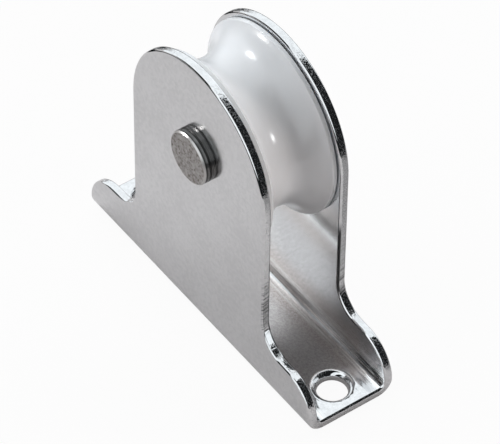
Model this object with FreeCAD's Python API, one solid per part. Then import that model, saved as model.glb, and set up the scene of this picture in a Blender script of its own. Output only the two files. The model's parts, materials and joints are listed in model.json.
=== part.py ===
# Upright lead block, in millimetres: a grooved sheave that turns on a fixed axle pin
# between two cheeks, which are folded up from one stainless base sheet.
# X runs along the base, Y along the axle and Z up. The origin is under the middle
# of the base, on the surface that the block is screwed to.
import FreeCAD, Part
import math
import os

# Folded sheet
SHEET = 1.5                # thickness
WIDTH = 15.4               # over the two cheeks
LENGTH = 57.6              # of the base, end to end
FOLD_RADIUS = 2.6          # outside of each fold
EDGE_ROUND = 0.4           # polished rounding along every cut edge

# Cheek outline, seen from the side
AXLE_HEIGHT = 35.5
HEAD_RADIUS = 16.5         # of the round head, half as wide as the upright part
FOOT_HEIGHT = 8.9          # where the foot's slope would meet the upright side
FOOT_SLOPE = 2.0           # degrees by which the foot falls towards its end
THROAT_RADIUS = 4.7        # hollow corner between the upright side and the foot
NOSE_RADIUS = 6.3          # round end of the foot
FOOT_FLAT = 0.6            # least straight stretch of the foot's top between those two

# Screw holes in the base, one near each end
SCREW_HOLE = 4.8           # diameter at the underside
SCREW_FROM_END = 4.8       # from a hole's centre to the base's end
SCREW_HOLE_ROUND = 1.1     # rounding of the upper edge, in which the screw's head sits

# Axle pin, pressed into both cheeks
AXLE = 8.8                 # diameter
AXLE_STANDOUT = 1.65       # beyond each cheek
AXLE_BEVEL = 0.25          # at both ends
RING_PLACE = 0.55          # turned ring on each end, from the cheek to its middle
RING_WIDTH = 0.3
RING_DEPTH = 0.12

# Sheave
SHEAVE = 31.4              # diameter over the rims
GROOVE_DEPTH = 3.45        # from the rims down to the root
RIM_LAND = 0.7             # flat top of each rim
RIM_ROUND = 0.15           # rounding between a rim's top and the groove
HUB = 14.0                 # diameter of the thrust boss on each side
BOSS_CLEARANCE = 0.1       # between a thrust boss and its cheek
SIDE_CLEARANCE = 0.2       # between the sheave's sides and the cheeks
BORE_CLEARANCE = 0.05      # between pin and bore, on the radius

# Two faces that meet at a smaller angle than this, in degrees, have no edge to round
SMOOTH_ANGLE = 20.0
TOUCH = 1e-6

HEAD_TOP = AXLE_HEIGHT + HEAD_RADIUS
HALF_INSIDE = WIDTH / 2 - SHEET
AXLE_CENTRE = FreeCAD.Vector(0, 0, AXLE_HEIGHT)
ALONG_AXLE = FreeCAD.Vector(0, 1, 0)


def side_point(x, z):
    """A point of an outline that is seen from the side."""
    return FreeCAD.Vector(x, 0, z)


def turned_point(y, radius):
    """A point of the half section of a turned piece, above the axle's centre line."""
    return FreeCAD.Vector(0, y, AXLE_HEIGHT + radius)


def closed_face(steps):
    """A flat face inside an outline of lines (two points each) and arcs (three)."""
    edges = []
    for step in steps:
        if len(step) == 2:
            edges.append(Part.LineSegment(*step).toShape())
        else:
            edges.append(Part.Arc(*step).toShape())
    return Part.Face(Part.Wire(edges))


def tangent_arc(before, corner, after, radius):
    """The start, middle and end of the arc that rounds a corner of an outline."""
    back = (before - corner).normalize()
    ahead = (after - corner).normalize()
    half_angle = back.getAngle(ahead) / 2
    reach = radius / math.tan(half_angle)
    inward = (back + ahead).normalize()
    centre = corner + inward * (radius / math.sin(half_angle))
    return [corner + back * reach, centre - inward * radius, corner + ahead * reach]


def turned(steps):
    """A piece turned about the axle's centre line from its half section."""
    return closed_face(steps).revolve(AXLE_CENTRE, ALONG_AXLE, 360)


def circles(shape, radius):
    """The round edges of a shape that have this radius."""
    found = []
    for edge in shape.Edges:
        if isinstance(edge.Curve, Part.Circle) and abs(edge.Curve.Radius - radius) < TOUCH:
            found.append(edge)
    return found


def sharp_edges(shape):
    """The edges at which two faces of a shape meet at an angle."""
    found = []
    for edge in shape.Edges:
        middle = edge.valueAt((edge.FirstParameter + edge.LastParameter) / 2)
        normals = []
        for face in shape.ancestorsOfType(edge, Part.Face):
            normals.append(face.normalAt(*face.Surface.parameter(middle)))
        if len(normals) == 2 and math.degrees(normals[0].getAngle(normals[1])) > SMOOTH_ANGLE:
            found.append(edge)
    return found


def trough(half_width, floor, radius):
    """A block over the base's whole length, with its two lower long edges rounded."""
    corner = FreeCAD.Vector(-LENGTH / 2, -half_width, floor)
    block = Part.makeBox(LENGTH, 2 * half_width, HEAD_TOP, corner)
    lower = []
    for edge in block.Edges:
        if edge.BoundBox.XLength > LENGTH / 2 and edge.BoundBox.ZMax < floor + TOUCH:
            lower.append(edge)
    return block.makeFillet(radius, lower)


def foot_arcs(heel, toe, throat, shoulder):
    """The arcs of a foot's nose and throat, both smaller where the foot's top is short."""
    nose_arc = tangent_arc(heel, toe, throat, NOSE_RADIUS)
    throat_arc = tangent_arc(toe, throat, shoulder, THROAT_RADIUS)
    taken = nose_arc[2].distanceToPoint(toe) + throat_arc[0].distanceToPoint(throat)
    room = toe.distanceToPoint(throat) - FOOT_FLAT
    share = min(1.0, room / taken)
    nose_arc = tangent_arc(heel, toe, throat, NOSE_RADIUS * share)
    throat_arc = tangent_arc(toe, throat, shoulder, THROAT_RADIUS * share)
    return nose_arc, throat_arc


def cheek_outline():
    """The side outline of both cheeks: two feet, two throats and the round head."""
    end = LENGTH / 2
    fall = math.tan(math.radians(FOOT_SLOPE))
    heel = side_point(end, 0)
    toe = side_point(end, FOOT_HEIGHT - (end - HEAD_RADIUS) * fall)
    throat = side_point(HEAD_RADIUS, FOOT_HEIGHT)
    shoulder = side_point(HEAD_RADIUS, AXLE_HEIGHT)
    nose_arc, throat_arc = foot_arcs(heel, toe, throat, shoulder)
    right = [
        [heel, nose_arc[0]],
        nose_arc,
        [nose_arc[2], throat_arc[0]],
        throat_arc,
        [throat_arc[2], shoulder],
    ]
    left = []
    for step in reversed(right):
        left.append([side_point(-point.x, point.z) for point in reversed(step)])
    head = [shoulder, side_point(0, HEAD_TOP), side_point(-HEAD_RADIUS, AXLE_HEIGHT)]
    sole = [side_point(-end, 0), heel]
    return closed_face(right + [head] + left + [sole])


def bracket():
    """The base and both cheeks: one sheet, cut out, folded twice and polished."""
    channel = trough(WIDTH / 2, 0, FOLD_RADIUS)
    channel = channel.cut(trough(HALF_INSIDE, SHEET, FOLD_RADIUS - SHEET))
    outline = cheek_outline()
    outline.translate(ALONG_AXLE * (-WIDTH / 2))
    sheet = channel.common(outline.extrude(ALONG_AXLE * WIDTH))
    sheet = sheet.makeFillet(EDGE_ROUND, sharp_edges(sheet))
    axle_start = AXLE_CENTRE - ALONG_AXLE * (WIDTH / 2)
    screw_place = LENGTH / 2 - SCREW_FROM_END
    sheet = sheet.cut(Part.makeCylinder(AXLE / 2, WIDTH, axle_start, ALONG_AXLE))
    for x in (-screw_place, screw_place):
        sheet = sheet.cut(Part.makeCylinder(SCREW_HOLE / 2, SHEET, side_point(x, 0)))
    upper = [edge for edge in circles(sheet, SCREW_HOLE / 2) if edge.BoundBox.ZMin > SHEET / 2]
    return sheet.makeFillet(SCREW_HOLE_ROUND, upper)


def axle_pin():
    """A plain pin with bevelled ends and a fine turned ring near each end."""
    radius = AXLE / 2
    end = WIDTH / 2 + AXLE_STANDOUT
    ring = WIDTH / 2 + RING_PLACE

    def ring_arc(middle):
        return [
            turned_point(middle - RING_WIDTH / 2, radius),
            turned_point(middle, radius - RING_DEPTH),
            turned_point(middle + RING_WIDTH / 2, radius),
        ]

    near_ring = ring_arc(-ring)
    far_ring = ring_arc(ring)
    near_bevel = [turned_point(-end, radius - AXLE_BEVEL), turned_point(-end + AXLE_BEVEL, radius)]
    far_bevel = [turned_point(end - AXLE_BEVEL, radius), turned_point(end, radius - AXLE_BEVEL)]
    return turned([
        [turned_point(end, 0), turned_point(-end, 0)],
        [turned_point(-end, 0), near_bevel[0]],
        near_bevel,
        [near_bevel[1], near_ring[0]],
        near_ring,
        [near_ring[2], far_ring[0]],
        far_ring,
        [far_ring[2], far_bevel[0]],
        far_bevel,
        [far_bevel[1], turned_point(end, 0)],
    ])


def sheave():
    """A round-grooved sheave with a plain bore and two thrust bosses."""
    rim = SHEAVE / 2
    bore = AXLE / 2 + BORE_CLEARANCE
    boss = HALF_INSIDE - BOSS_CLEARANCE
    side = HALF_INSIDE - SIDE_CLEARANCE
    mouth = side - RIM_LAND
    corners = [
        turned_point(-mouth, rim),
        turned_point(-side, rim),
        turned_point(-side, HUB / 2),
        turned_point(-boss, HUB / 2),
        turned_point(-boss, bore),
        turned_point(boss, bore),
        turned_point(boss, HUB / 2),
        turned_point(side, HUB / 2),
        turned_point(side, rim),
        turned_point(mouth, rim),
    ]
    steps = [list(pair) for pair in zip(corners, corners[1:])]
    steps.append([corners[-1], turned_point(0, rim - GROOVE_DEPTH), corners[0]])
    body = turned(steps)
    groove_edges = [edge for edge in circles(body, rim) if abs(edge.BoundBox.Center.y) < side - TOUCH]
    return body.makeFillet(RIM_ROUND, groove_edges)


os.makedirs("parts", exist_ok=True)
for piece in (bracket, axle_pin, sheave):
    shape = piece()
    shape.exportStep(f"parts/{piece.__name__}.step")
    print(piece.__name__, "volume", round(shape.Volume, 1), "mm3")
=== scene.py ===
# Looks of the upright lead block: a stainless bracket with satin faces and polished
# edges, a turned stainless axle pin and a white nylon sheave, on a white studio floor.
# Lengths are metres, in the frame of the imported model.
import bpy
import json
import math
from mathutils import Matrix, Vector

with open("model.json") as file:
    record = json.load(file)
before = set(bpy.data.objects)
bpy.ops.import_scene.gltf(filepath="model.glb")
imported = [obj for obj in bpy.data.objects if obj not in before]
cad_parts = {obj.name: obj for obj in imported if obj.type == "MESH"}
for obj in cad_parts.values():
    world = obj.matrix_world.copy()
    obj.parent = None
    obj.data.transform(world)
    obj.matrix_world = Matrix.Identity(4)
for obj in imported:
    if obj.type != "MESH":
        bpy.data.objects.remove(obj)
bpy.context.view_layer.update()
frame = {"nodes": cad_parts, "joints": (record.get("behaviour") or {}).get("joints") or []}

MM = 0.001
AXLE_HEIGHT = frame["joints"][0]["pos_m"][2]
PLAIN_WHITE = (1.0, 1.0, 1.0, 1.0)

# Camera, solved from the outlines in the photograph, with its angles in degrees
CAMERA_AZIMUTH = 53.733
CAMERA_ELEVATION = 46.647
CAMERA_ROLL = 0.652
CAMERA_DISTANCE = 558.7 * MM
CAMERA_TARGET = Vector((2.676, 0.082, 18.613)) * MM
CAMERA_LENS = 270.0            # millimetres, for a sensor 36 mm wide
NEAREST_SEEN = 10.0 * MM
FARTHEST_SEEN = 10.0

# Studio: a white wall to the left and in front, a dark room behind on the right
WALL_WHITE = (0.965, 1.02, 1.05, 1.0)
WALL_LIGHT = 1.6               # strength with which the wall lights matt surfaces
WALL_SHINE = 1.22              # strength of its mirror image in polished ones
ROOM_DARK = (0.012, 0.013, 0.014, 1.0)
ROOM_FILL = (0.075, 0.072, 0.07, 1.0)    # the room's faint light on matt surfaces
WALL_EDGE = 0.03               # softness of the wall's outline
FRONT_WALL_START = -0.4        # direction along Y at which the front wall begins
GAP_FRONT = -0.45              # directions along Y and X at which a dark gap begins,
GAP_LEFT = -0.3                # where the front wall meets the left one

# Floor, with the table that only reflections show
FLOOR_SIZE = 3.0
FLOOR_DROP = 0.02 * MM
FLOOR_WHITE = (0.78, 0.735, 0.725, 1.0)
FLOOR_GLOW = 0.94              # share of plain white that the camera sees in the floor
TABLE_CENTRE = Vector((3.0, 0.0, 0.0)) * MM
TABLE_RADIUS = 110.0 * MM      # beyond it, reflections show the dark room
TABLE_EDGE = 0.03              # softness of its outline, as a share of the distance
TABLE_SHADE = (0.42, 0.4, 0.395, 1.0)
SHADE = (10.0 * MM, 26.0 * MM)           # along Y, from light to shade
LEFT_WALL_FOOT = -190.0 * MM   # where the white wall meets the floor on the left

# Lamps that show as highlights only: direction, diameter, power and what they light
LAMP_DISTANCE = 600.0 * MM
LAMPS = {
    "left_lamp": ((-0.724, -0.311, 0.616), 85.0 * MM, 1.1, ("sheave", "axle_pin")),
    "low_lamp": ((-0.661, -0.75, 0.023), 45.0 * MM, 0.3, ("sheave", "axle_pin")),
    "back_lamp": ((0.635, 0.74, 0.222), 65.0 * MM, 0.5, ("sheave", "axle_pin")),
    "pin_lamp": ((-0.754, -0.602, 0.261), 60.0 * MM, 0.7, ("axle_pin",)),
}

# Low light from behind on the right, which only matt surfaces show
BACK_LIGHT_FROM = (0.62, 0.77, 0.12)
BACK_LIGHT = 1.2
BACK_LIGHT_COLOUR = (1.0, 0.96, 0.93)
BACK_LIGHT_ANGLE = 15.0        # degrees across

# Parts of the bracket. Each pair is a range over which a part goes from none to full.
INNER_FACE = 6.2 * MM          # from the middle to the cheeks' inner faces
EDGE_ALONG = (0.12, 0.3)       # how far a cut edge faces along the base
EDGE_UP = (0.15, 0.4)          # how far a cut edge faces up
ABOVE_FOLD = (2.8 * MM, 3.2 * MM)
EDGE_FLAT = (0.35, 0.1)        # how far an edge faces sideways, beside its flat part
INSIDE_WIDTH = (INNER_FACE + 0.4 * MM, INNER_FACE + 0.2 * MM)
INSIDE_HEIGHT = (1.2 * MM, 1.4 * MM)
CHANNEL_HEIGHT = (10.0 * MM, 4.0 * MM)
# Inner faces above this height are painted lighter and bluer: painted light
INSIDE_PAINTED_LIGHT_HEIGHT = (3.0 * MM, 5.0 * MM)
UPRIGHT_ALONG = (0.3, 0.5)     # how far an upright edge faces along the base
ABOVE_THROAT = (11.0 * MM, 12.0 * MM)
FILED_HEIGHT = (24.0 * MM, 17.0 * MM)
# Upright edges that turn inwards, below this height, are painted dark: painted shade
LIP_INWARD = (-0.05 * INNER_FACE, -0.25 * INNER_FACE)
LIP_HEIGHT = (27.0 * MM, 24.0 * MM)
FOLD_WIDTH = (4.0 * MM, 5.2 * MM)
FOLD_HEIGHT = (5.0 * MM, 3.0 * MM)
FEET_HEIGHT = (15.0 * MM, 10.0 * MM)

# Polished ends of the base, which fall away outwards
POLISHED_END = 21.5 * MM       # from the middle to where they begin
POLISHED_FADE = 1.5 * MM
POLISHED_REACH = 6.0 * MM      # from there to where they have fallen by their full depth
POLISHED_FALL = -0.5 * MM
POLISHED_UP = (0.8, 0.95)      # how far they face up
POLISHED_HEIGHT = (2.2 * MM, 1.8 * MM)
STROKES = (150.0, 900.0, 0.0)  # polishing strokes per metre along each axis
STROKE_LENGTH = 0.7 * MM       # by which they differ in length

# Smooth flat patches on the near foot's edge: start and end along X, and their lean
PATCHES = (
    (16.8 * MM, 18.7 * MM, (-0.45, -0.65, 0.15)),
    (20.2 * MM, 25.0 * MM, (-0.1, -0.3, 0.0)),
)
PATCH_FADE = 0.15 * MM

# Noise on the bracket: lumps per metre, and the detail and roughness of their outlines
SPECKS = (2600.0, 3.0, 0.6)
CLOUDS = (140.0, 2.0)
MOTTLE = (1300.0, 3.0, 0.65)
EDGE_PITS = (3800.0, 2.0, 0.7)
EDGE_WAVES = (260.0, 1.0)
EDGE_GRAIN = (2600.0, 1.0)
FILE_MARKS = (1500.0, 2.0, 0.6)
MARK_SLANT = (0.0, -0.35, 1.0)
STREAKS = (1.0, 3.0, 0.6)
STREAKS_ALONG_FOLD = (60.0, 2200.0, 2200.0)

# How much of that noise becomes light or dark
MOTTLE_SHARE = 0.7
CLOUD_SHARE = 0.3
TONES = (0.4, 0.6)
PIT_TONES = (0.45, 0.6)
MARK_TONES = (0.0, 0.1)
MARK_SHARE = 0.8
# Tones of the painted highlight along the inner fold
FOLD_HIGHLIGHT_TONES = (-0.1, 0.1)

# Colours of the bracket
SATIN_DARK = (0.68, 0.68, 0.685, 1.0)
SATIN_LIGHT = (0.76, 0.76, 0.765, 1.0)
# Painted light: the inner faces above the base, lighter and bluer than the satin
INSIDE_PAINTED_LIGHT_COLOUR = (0.79, 0.8, 0.815, 1.0)
DUST_DARK = (0.68, 0.64, 0.62, 1.0)
DUST_LIGHT = (0.8, 0.755, 0.735, 1.0)
# Dark file marks, and the painted shade on the inward-turned upright edges
MARK_AND_PAINTED_SHADE_DARK = (0.06, 0.06, 0.06, 1.0)
# Painted highlight: bright streaks along the inner fold
FOLD_PAINTED_HIGHLIGHT = (0.98, 0.97, 0.96, 1.0)

# Roughness of the bracket
SATIN_ROUGHNESS = (0.15, 0.2)
INSIDE_ROUGHNESS = 0.09
CHANNEL_ROUGHNESS = 0.2
EDGE_ROUGHNESS = 0.045
PIT_ROUGHNESS = 0.38

# Heights of the bracket's unevenness
HEAD_WAVE_HEIGHT = 0.08 * MM
FOOT_WAVE_HEIGHT = 0.16 * MM
GRAIN_HEIGHT = 0.025 * MM
MARK_HEIGHT = 0.12 * MM
STREAK_HEIGHT = 0.045 * MM
SATIN_SPECK_HEIGHT = 0.005 * MM
INSIDE_SPECK_HEIGHT = 0.0003 * MM
CHANNEL_SPECK_HEIGHT = 0.01 * MM

# Axle pin, with ranges and noise as on the bracket
PIN_END = (0.85, 0.95)         # how far the ends face sideways
BEVEL_OUTSIDE = (0.4, 0.6)     # how far the bevels do, from the pin's side
BEVEL_INSIDE = (0.9, 0.8)      # and towards the ends
RING_START = (8.0 * MM, 8.05 * MM)       # from the middle to the turned ring near each end
RING_END = (8.5 * MM, 8.45 * MM)
TURNING_PITCH = 0.32 * MM      # of the turning marks on the ends
TURNING_HEIGHT = 0.003 * MM
WANDER = (700.0, 2.0)
WANDER_ANGLE = 9.0             # by which the turning marks wander
LATHE_LINES = (60.0, 5000.0, 60.0)       # per metre along each axis
LATHE_NOISE = (1.0, 1.0)
LATHE_TONES = (0.35, 0.65)
LATHE_HEIGHT = 0.004 * MM
PIN_PITS = (1900.0, 3.0, 0.65)
PIN_PIT_TONES = (0.38, 0.47)
PIN_PIT_HEIGHT = 0.03 * MM
PIN_MOTTLE = (1600.0, 3.0, 0.6)
PIN_TONES = (0.3, 0.7)
END_DARK = (0.25, 0.235, 0.225, 1.0)
END_LIGHT = (0.44, 0.42, 0.41, 1.0)
PIT_DARK = (0.14, 0.12, 0.1, 1.0)
# Painted shade: the side, far darker than steel, between these two with the lathe lines' random tone
SIDE_PAINTED_SHADE_DARK = (0.05, 0.048, 0.047, 1.0)
SIDE_PAINTED_SHADE_LIGHT = (0.27, 0.265, 0.26, 1.0)
# Painted highlight: a light ring on the bevels
BEVEL_PAINTED_HIGHLIGHT = (0.55, 0.535, 0.525, 1.0)
SIDE_ROUGHNESS = 0.24
END_ROUGHNESS = 0.34

# Sheave
NYLON_DARK = (0.78, 0.775, 0.785, 1.0)
NYLON_LIGHT = (0.81, 0.805, 0.815, 1.0)
NYLON_ROUGHNESS = (0.17, 0.23)
NYLON_CLOUDS = (160.0, 2.0)
NYLON_GRAIN = (3000.0, 2.0)
NYLON_GRAIN_HEIGHT = 0.001 * MM
NYLON_IOR = 1.53
NYLON_DEPTH = 0.8 * MM         # to which light gets in
NYLON_GLOW = 0.25              # share of the light that does
NYLON_DEPTH_BY_COLOUR = (1.0, 0.95, 0.9)


def add(tree, kind, inputs=None, **settings):
    """A new node with its settings made, and its inputs set or linked."""
    node = tree.nodes.new(kind)
    for name, value in settings.items():
        setattr(node, name, value)
    set_inputs(tree, node, inputs or {})
    return node


def set_inputs(tree, node, values):
    """Sets or links a node's inputs."""
    for name, value in values.items():
        if isinstance(value, bpy.types.NodeSocket):
            tree.links.new(value, node.inputs[name])
        else:
            node.inputs[name].default_value = value


def maths(tree, operation, first, second=0.0, third=0.0):
    """The result of one arithmetic step."""
    return add(tree, "ShaderNodeMath", {0: first, 1: second, 2: third}, operation=operation).outputs[0]


def opposite(tree, share):
    """What a share leaves of the whole."""
    return maths(tree, "SUBTRACT", 1.0, share)


def product(tree, *factors):
    """Several numbers multiplied with one another."""
    result = factors[0]
    for factor in factors[1:]:
        result = maths(tree, "MULTIPLY", result, factor)
    return result


def vector_maths(tree, operation, first, second, output="Vector"):
    """The result of one arithmetic step with two vectors."""
    return add(tree, "ShaderNodeVectorMath", {0: first, 1: second}, operation=operation).outputs[output]


def stretched(tree, vector, scale):
    """Coordinates that are multiplied by a number along each axis."""
    return vector_maths(tree, "MULTIPLY", vector, scale)


def components(tree, vector):
    """The X, Y and Z of a vector, and their sizes without a sign as |X|, |Y| and |Z|."""
    found = {}
    for name, socket in add(tree, "ShaderNodeSeparateXYZ", {0: vector}).outputs.items():
        found[name] = socket
        found[f"|{name}|"] = maths(tree, "ABSOLUTE", socket)
    return found


def ramp(tree, value, start, end):
    """0 below start, 1 above end and smooth between them."""
    settings = {"Value": value, "From Min": start, "From Max": end}
    return add(tree, "ShaderNodeMapRange", settings, interpolation_type="SMOOTHSTEP").outputs["Result"]


def between(tree, share, first, second):
    """A number between two others."""
    settings = {"Value": share, "To Min": first, "To Max": second}
    return add(tree, "ShaderNodeMapRange", settings).outputs["Result"]


def blend(tree, share, first, second):
    """A colour between two others."""
    node = add(tree, "ShaderNodeMix", {"Factor": share}, data_type="RGBA")
    colour_a, colour_b = [socket for socket in node.inputs if socket.type == "RGBA"]
    for socket, value in ((colour_a, first), (colour_b, second)):
        if isinstance(value, bpy.types.NodeSocket):
            tree.links.new(value, socket)
        else:
            socket.default_value = value
    return [socket for socket in node.outputs if socket.type == "RGBA"][0]


def noise(tree, vector, scale, detail=2.0, roughness=0.5):
    """Smooth noise around one half, with lumps about 1 / scale apart."""
    inputs = {"Vector": vector, "Scale": scale, "Detail": detail, "Roughness": roughness}
    return add(tree, "ShaderNodeTexNoise", inputs).outputs[0]


def centred(tree, height):
    """A height map that varies around nothing, so that its mask adds no slope."""
    return maths(tree, "SUBTRACT", height, 0.5)


def bumped(tree, height, distance, below=None):
    """A normal that follows a height map, on top of another normal."""
    inputs = {"Height": height, "Distance": distance, "Strength": 1.0}
    if below is not None:
        inputs["Normal"] = below
    return add(tree, "ShaderNodeBump", inputs).outputs[0]


def leaned(tree, normal, direction, share):
    """A normal that leans over by a share of a direction."""
    lean = add(tree, "ShaderNodeVectorMath", {0: direction, "Scale": share}, operation="SCALE")
    both = vector_maths(tree, "ADD", normal, lean.outputs[0])
    return add(tree, "ShaderNodeVectorMath", {0: both}, operation="NORMALIZE").outputs[0]


def empty_tree(owner):
    """The emptied node tree of a material or a world."""
    owner.use_nodes = True
    owner.node_tree.nodes.clear()
    return owner.node_tree


def new_material(name):
    """An empty node material: its tree and its principled shader."""
    material = bpy.data.materials.new(name)
    tree = empty_tree(material)
    shader = add(tree, "ShaderNodeBsdfPrincipled")
    add(tree, "ShaderNodeOutputMaterial", {"Surface": shader.outputs[0]})
    return material, tree, shader


def bracket_parts(tree, spot, normal):
    """How much each point of the bracket belongs to each of its parts."""
    upward = product(tree, ramp(tree, normal["Z"], *EDGE_UP), ramp(tree, spot["Z"], *ABOVE_FOLD))
    cut_edge = maths(tree, "MAXIMUM", ramp(tree, normal["|X|"], *EDGE_ALONG), upward)
    inside = product(
        tree,
        ramp(tree, spot["|Y|"], *INSIDE_WIDTH),
        ramp(tree, spot["Z"], *INSIDE_HEIGHT),
        opposite(tree, cut_edge),
    )
    unpolished = ramp(tree, spot["|X|"], POLISHED_END + POLISHED_FADE, POLISHED_END)
    upright = product(
        tree,
        ramp(tree, normal["|X|"], *UPRIGHT_ALONG),
        ramp(tree, spot["Z"], *ABOVE_THROAT),
    )
    lip = ramp(tree, product(tree, spot["Y"], normal["Y"]), *LIP_INWARD)
    fold = product(tree, ramp(tree, spot["|Y|"], *FOLD_WIDTH), ramp(tree, spot["Z"], *FOLD_HEIGHT))
    return {
        "cut_edge": cut_edge,
        "flat_edge": product(tree, cut_edge, ramp(tree, normal["|Y|"], *EDGE_FLAT)),
        "inside": inside,
        "channel": product(tree, inside, unpolished, ramp(tree, spot["Z"], *CHANNEL_HEIGHT)),
        # painted light: the inner faces above the base
        "inside_painted_light": product(tree, inside, ramp(tree, spot["Z"], *INSIDE_PAINTED_LIGHT_HEIGHT)),
        "filed": product(tree, upright, ramp(tree, spot["Z"], *FILED_HEIGHT)),
        # painted shade: a dark line on the inward-turned upright edges
        "painted_shade_lip": product(tree, upright, lip, ramp(tree, spot["Z"], *LIP_HEIGHT)),
        "fold": product(tree, inside, fold),
    }


def bracket_noise(tree, place):
    """The noise layers of the bracket, those under a mask centred around nothing."""
    slanted = vector_maths(tree, "DOT_PRODUCT", place, MARK_SLANT, "Value")
    along_fold = stretched(tree, place, STREAKS_ALONG_FOLD)
    return {
        "specks": noise(tree, place, *SPECKS),
        "clouds": noise(tree, place, *CLOUDS),
        "mottle": noise(tree, place, *MOTTLE),
        "pits": ramp(tree, noise(tree, place, *EDGE_PITS), *PIT_TONES),
        "waves": centred(tree, noise(tree, place, *EDGE_WAVES)),
        "grain": centred(tree, noise(tree, place, *EDGE_GRAIN)),
        "marks": centred(tree, noise(tree, slanted, *FILE_MARKS)),
        "streaks": centred(tree, noise(tree, along_fold, *STREAKS)),
    }


def bracket_colour(tree, part, layer):
    """Mottled satin, a dusty channel, dark file marks, inner faces painted lighter and bluer above the
    base as painted light, a line of painted shade on the inward-turned upright edges, and bright
    streaks along the folds that are a painted highlight.
    """
    clouds = product(tree, layer["clouds"], CLOUD_SHARE)
    tone = maths(tree, "MULTIPLY_ADD", layer["mottle"], MOTTLE_SHARE, clouds)
    colour = blend(tree, ramp(tree, tone, *TONES), SATIN_DARK, SATIN_LIGHT)
    # Painted light: the inner faces above the base made lighter and bluer
    colour = blend(tree, part["inside_painted_light"], colour, INSIDE_PAINTED_LIGHT_COLOUR)
    dusty = blend(tree, ramp(tree, layer["specks"], *TONES), DUST_DARK, DUST_LIGHT)
    colour = blend(tree, part["channel"], colour, dusty)
    marks = product(tree, part["filed"], ramp(tree, layer["marks"], *MARK_TONES), MARK_SHARE)
    # Dark file marks, and painted shade on the inward-turned upright edges
    colour = blend(tree, maths(tree, "MAXIMUM", marks, part["painted_shade_lip"]), colour, MARK_AND_PAINTED_SHADE_DARK)
    # Painted highlight: bright streaks along the inner fold
    bright = product(tree, part["fold"], ramp(tree, layer["streaks"], *FOLD_HIGHLIGHT_TONES))
    return blend(tree, bright, colour, FOLD_PAINTED_HIGHLIGHT)


def bracket_roughness(tree, part, layer, pitted):
    """Satin faces, a smoother inside, a dull channel, and polished edges with fine pits."""
    roughness = between(tree, layer["clouds"], *SATIN_ROUGHNESS)
    roughness = between(tree, part["inside"], roughness, INSIDE_ROUGHNESS)
    roughness = between(tree, part["channel"], roughness, CHANNEL_ROUGHNESS)
    roughness = between(tree, part["cut_edge"], roughness, EDGE_ROUGHNESS)
    return between(tree, product(tree, pitted, layer["pits"]), roughness, PIT_ROUGHNESS)


def flat_patches(tree, spot, facing, flat_edge):
    """The normal with the near foot's patches in it, and the flat edges beside them."""
    near_edge = product(tree, flat_edge, ramp(tree, spot["Y"], 0.0, -INNER_FACE))
    surface = facing
    beside = flat_edge
    for start, end, lean in PATCHES:
        patch = product(
            tree,
            near_edge,
            ramp(tree, spot["X"], start - PATCH_FADE, start + PATCH_FADE),
            ramp(tree, spot["X"], end + PATCH_FADE, end - PATCH_FADE),
        )
        surface = leaned(tree, surface, lean, patch)
        beside = product(tree, beside, opposite(tree, patch))
    return surface, beside


def polished_fall(tree, place, spot, normal):
    """How far the base's ends fall away, where they were polished with ragged strokes."""
    strokes = centred(tree, noise(tree, stretched(tree, place, STROKES), 1.0, 1.0))
    ragged = maths(tree, "MULTIPLY_ADD", strokes, STROKE_LENGTH, POLISHED_END)
    outward = maths(tree, "SUBTRACT", spot["|X|"], ragged)
    reach = maths(tree, "MAXIMUM", maths(tree, "DIVIDE", outward, POLISHED_REACH), 0.0)
    upper_face = ramp(tree, normal["Z"], *POLISHED_UP)
    return product(tree, reach, reach, upper_face, ramp(tree, spot["Z"], *POLISHED_HEIGHT))


def bracket_surface(tree, spot, part, layer, facing, fall):
    """Waves and grain on the edges, file marks, streaks, specks and the ends' fall."""
    feet = ramp(tree, spot["Z"], *FEET_HEIGHT)
    wave_height = between(tree, feet, HEAD_WAVE_HEIGHT, FOOT_WAVE_HEIGHT)
    surface = bumped(tree, product(tree, layer["waves"], part["cut_edge"]), wave_height, facing)
    surface = bumped(tree, product(tree, layer["grain"], part["flat_edge"]), GRAIN_HEIGHT, surface)
    surface = bumped(tree, product(tree, layer["marks"], part["filed"]), MARK_HEIGHT, surface)
    surface = bumped(tree, product(tree, layer["streaks"], part["fold"]), STREAK_HEIGHT, surface)
    speck_height = between(tree, part["inside"], SATIN_SPECK_HEIGHT, INSIDE_SPECK_HEIGHT)
    speck_height = between(tree, part["channel"], speck_height, CHANNEL_SPECK_HEIGHT)
    surface = bumped(tree, layer["specks"], speck_height, surface)
    return bumped(tree, fall, POLISHED_FALL, surface)


def stainless_bracket():
    """Satin sheet faces with fine specks, and cut edges polished by hand."""
    material, tree, shader = new_material("polished_stainless")
    place = add(tree, "ShaderNodeTexCoord").outputs["Object"]
    facing = add(tree, "ShaderNodeNewGeometry").outputs["Normal"]
    spot = components(tree, place)
    normal = components(tree, facing)
    part = bracket_parts(tree, spot, normal)
    layer = bracket_noise(tree, place)
    patched, pitted = flat_patches(tree, spot, facing, part["flat_edge"])
    fall = polished_fall(tree, place, spot, normal)
    set_inputs(tree, shader, {
        "Base Color": bracket_colour(tree, part, layer),
        "Metallic": 1.0,
        "Roughness": bracket_roughness(tree, part, layer, pitted),
        "Normal": bracket_surface(tree, spot, part, layer, patched, fall),
    })
    return material


def turning_marks(tree, place):
    """Rings around the axle's centre line that wander a little."""
    from_axle = vector_maths(tree, "SUBTRACT", place, (0.0, 0.0, AXLE_HEIGHT))
    flat = stretched(tree, from_axle, (1.0, 0.0, 1.0))
    radius = add(tree, "ShaderNodeVectorMath", {0: flat}, operation="LENGTH").outputs["Value"]
    wander = product(tree, noise(tree, place, *WANDER), WANDER_ANGLE)
    return maths(tree, "SINE", maths(tree, "MULTIPLY_ADD", radius, 2 * math.pi / TURNING_PITCH, wander))


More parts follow.
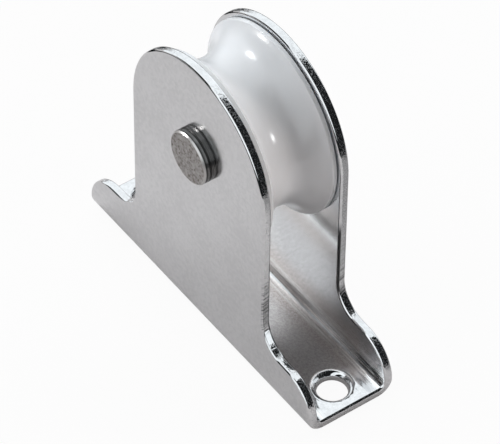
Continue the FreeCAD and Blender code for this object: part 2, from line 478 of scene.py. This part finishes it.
def turned_stainless():
    """A turned pin: rings round its side, and turning marks and pits on its ends; its side and rings
    painted dark as painted shade, and its bevels painted light as a painted highlight.
    """
    material, tree, shader = new_material("turned_stainless")
    place = add(tree, "ShaderNodeTexCoord").outputs["Object"]
    from_middle = components(tree, place)["|Y|"]
    sideways = components(tree, add(tree, "ShaderNodeNewGeometry").outputs["Normal"])["|Y|"]
    end_face = ramp(tree, sideways, *PIN_END)
    bevel = product(tree, ramp(tree, sideways, *BEVEL_OUTSIDE), ramp(tree, sideways, *BEVEL_INSIDE))
    ring = product(tree, ramp(tree, from_middle, *RING_START), ramp(tree, from_middle, *RING_END))

    lathe = noise(tree, stretched(tree, place, LATHE_LINES), *LATHE_NOISE)
    pits = ramp(tree, noise(tree, place, *PIN_PITS), *PIN_PIT_TONES)
    mottle = ramp(tree, noise(tree, place, *PIN_MOTTLE), *PIN_TONES)
    end_colour = blend(tree, pits, PIT_DARK, blend(tree, mottle, END_DARK, END_LIGHT))
    # Painted shade: the side darkened, with the lathe lines' random tone
    side_colour = blend(tree, ramp(tree, lathe, *LATHE_TONES), SIDE_PAINTED_SHADE_DARK, SIDE_PAINTED_SHADE_LIGHT)
    colour = blend(tree, end_face, side_colour, end_colour)
    # Painted highlight on the bevels
    colour = blend(tree, bevel, colour, BEVEL_PAINTED_HIGHLIGHT)
    # Painted shade over the turned ring's highlight
    colour = blend(tree, ring, colour, SIDE_PAINTED_SHADE_DARK)

    surface = bumped(tree, product(tree, turning_marks(tree, place), end_face), TURNING_HEIGHT)
    surface = bumped(tree, product(tree, pits, end_face), PIN_PIT_HEIGHT, surface)
    surface = bumped(tree, lathe, LATHE_HEIGHT, surface)
    dull = maths(tree, "MAXIMUM", end_face, bevel)
    set_inputs(tree, shader, {
        "Base Color": colour,
        "Metallic": 1.0,
        "Roughness": between(tree, dull, SIDE_ROUGHNESS, END_ROUGHNESS),
        "Normal": surface,
    })
    return material


def white_nylon():
    """Moulded white nylon, glossy and slightly translucent."""
    material, tree, shader = new_material("white_nylon")
    place = add(tree, "ShaderNodeTexCoord").outputs["Object"]
    clouds = noise(tree, place, *NYLON_CLOUDS)
    set_inputs(tree, shader, {
        "Base Color": blend(tree, clouds, NYLON_DARK, NYLON_LIGHT),
        "Roughness": between(tree, clouds, *NYLON_ROUGHNESS),
        "Normal": bumped(tree, noise(tree, place, *NYLON_GRAIN), NYLON_GRAIN_HEIGHT),
        "IOR": NYLON_IOR,
        "Subsurface Weight": NYLON_GLOW,
        "Subsurface Radius": NYLON_DEPTH_BY_COLOUR,
        "Subsurface Scale": NYLON_DEPTH,
    })
    return material


def dress(node, material):
    """Gives a carried-over CAD node its finish."""
    mesh = frame["nodes"][node].data
    mesh.materials.clear()
    mesh.materials.append(material)


def studio_world():
    """What surrounds the block: plain white for the camera, walls and a dark room for the rest."""
    world = bpy.data.worlds.new("studio")
    bpy.context.scene.world = world
    tree = empty_tree(world)
    direction = components(tree, add(tree, "ShaderNodeTexCoord").outputs["Generated"])

    def beyond(axis, start):
        return ramp(tree, direction[axis], start + WALL_EDGE, start - WALL_EDGE)

    rays = add(tree, "ShaderNodeLightPath").outputs
    glossy = rays["Is Glossy Ray"]
    front = product(tree, beyond("Y", FRONT_WALL_START), glossy)
    gap = product(tree, beyond("Y", GAP_FRONT), beyond("X", GAP_LEFT), glossy)
    wall = maths(tree, "SUBTRACT", maths(tree, "MAXIMUM", beyond("X", 0.0), front), gap)
    colour = blend(tree, wall, blend(tree, glossy, ROOM_FILL, ROOM_DARK), WALL_WHITE)
    strength = between(tree, glossy, WALL_LIGHT, WALL_SHINE)
    studio = add(tree, "ShaderNodeBackground", {"Color": colour, "Strength": strength})
    plain = add(tree, "ShaderNodeBackground", {"Color": PLAIN_WHITE, "Strength": 1.0})
    shown = add(tree, "ShaderNodeMixShader", {
        0: rays["Is Camera Ray"],
        1: studio.outputs[0],
        2: plain.outputs[0],
    })
    add(tree, "ShaderNodeOutputWorld", {"Surface": shown.outputs[0]})


def floor_material():
    """Matt white paint, in whose mirror image the table ends and lies partly in shade."""
    material = bpy.data.materials.new("studio_floor")
    tree = empty_tree(material)
    place = add(tree, "ShaderNodeTexCoord").outputs["Object"]
    spot = components(tree, place)
    rays = add(tree, "ShaderNodeLightPath").outputs
    glossy = rays["Is Glossy Ray"]
    near = 1.0 - TABLE_EDGE
    far = 1.0 + TABLE_EDGE
    offset = vector_maths(tree, "DISTANCE", place, TABLE_CENTRE, "Value")
    beyond_table = ramp(tree, offset, TABLE_RADIUS * near, TABLE_RADIUS * far)
    before_wall = ramp(tree, spot["X"], LEFT_WALL_FOOT * far, LEFT_WALL_FOOT * near)
    shade = product(tree, ramp(tree, spot["Y"], *SHADE), glossy)
    dark = product(tree, beyond_table, before_wall, glossy)
    paint = blend(tree, dark, blend(tree, shade, FLOOR_WHITE, TABLE_SHADE), ROOM_DARK)
    matt = add(tree, "ShaderNodeBsdfDiffuse", {"Color": paint})
    glow = add(tree, "ShaderNodeEmission", {"Color": PLAIN_WHITE, "Strength": 1.0})
    share = product(tree, rays["Is Camera Ray"], FLOOR_GLOW)
    surface = add(tree, "ShaderNodeMixShader", {0: share, 1: matt.outputs[0], 2: glow.outputs[0]})
    add(tree, "ShaderNodeOutputMaterial", {"Surface": surface.outputs[0]})
    return material


def studio_floor():
    """A white floor that keeps the block's shadow, and whose table edge metal can see."""
    bpy.ops.mesh.primitive_plane_add(size=FLOOR_SIZE, location=(0.0, 0.0, -FLOOR_DROP))
    floor = bpy.context.object
    floor.name = "studio_floor"
    floor.data.materials.append(floor_material())


def lamp(name, direction, size, power, receivers):
    """A small round studio lamp, seen only as a highlight on some of the pieces."""
    data = bpy.data.lights.new(name, "AREA")
    data.shape = "DISK"
    data.size = size
    data.energy = power
    light = bpy.data.objects.new(name, data)
    towards = Vector(direction).normalized()
    light.location = Vector((0.0, 0.0, AXLE_HEIGHT)) + towards * LAMP_DISTANCE
    light.rotation_euler = towards.to_track_quat("Z", "Y").to_euler()
    light.visible_camera = False
    light.visible_diffuse = False
    lit = bpy.data.collections.new(f"lit_by_{name}")
    for node in receivers:
        lit.objects.link(frame["nodes"][node])
    light.light_linking.receiver_collection = lit
    bpy.context.scene.collection.objects.link(light)


def back_light():
    """A soft low light from behind, without a mirror image."""
    data = bpy.data.lights.new("back_light", "SUN")
    data.energy = BACK_LIGHT
    data.color = BACK_LIGHT_COLOUR
    data.angle = math.radians(BACK_LIGHT_ANGLE)
    light = bpy.data.objects.new("back_light", data)
    light.rotation_euler = Vector(BACK_LIGHT_FROM).to_track_quat("Z", "Y").to_euler()
    light.visible_glossy = False
    bpy.context.scene.collection.objects.link(light)


def studio_camera():
    """The photograph's view of the block."""
    azimuth = math.radians(CAMERA_AZIMUTH)
    elevation = math.radians(CAMERA_ELEVATION)
    back = Vector((
        math.sin(azimuth) * math.cos(elevation),
        -math.cos(azimuth) * math.cos(elevation),
        math.sin(elevation),
    ))
    right = Vector((math.cos(azimuth), math.sin(azimuth), 0.0))
    upright = Matrix((right, back.cross(right), back)).transposed()
    rolled = upright @ Matrix.Rotation(math.radians(CAMERA_ROLL), 3, "Z")
    data = bpy.data.cameras.new("camera")
    data.lens = CAMERA_LENS
    data.clip_start = NEAREST_SEEN
    data.clip_end = FARTHEST_SEEN
    camera = bpy.data.objects.new("camera", data)
    camera.matrix_world = Matrix.Translation(CAMERA_TARGET + back * CAMERA_DISTANCE) @ rolled.to_4x4()
    bpy.context.scene.collection.objects.link(camera)
    bpy.context.scene.camera = camera


bpy.context.scene.view_settings.view_transform = "Standard"
studio_camera()
studio_world()
studio_floor()
back_light()
for name, settings in LAMPS.items():
    lamp(name, *settings)
dress("bracket", stainless_bracket())
dress("axle_pin", turned_stainless())
dress("sheave", white_nylon())
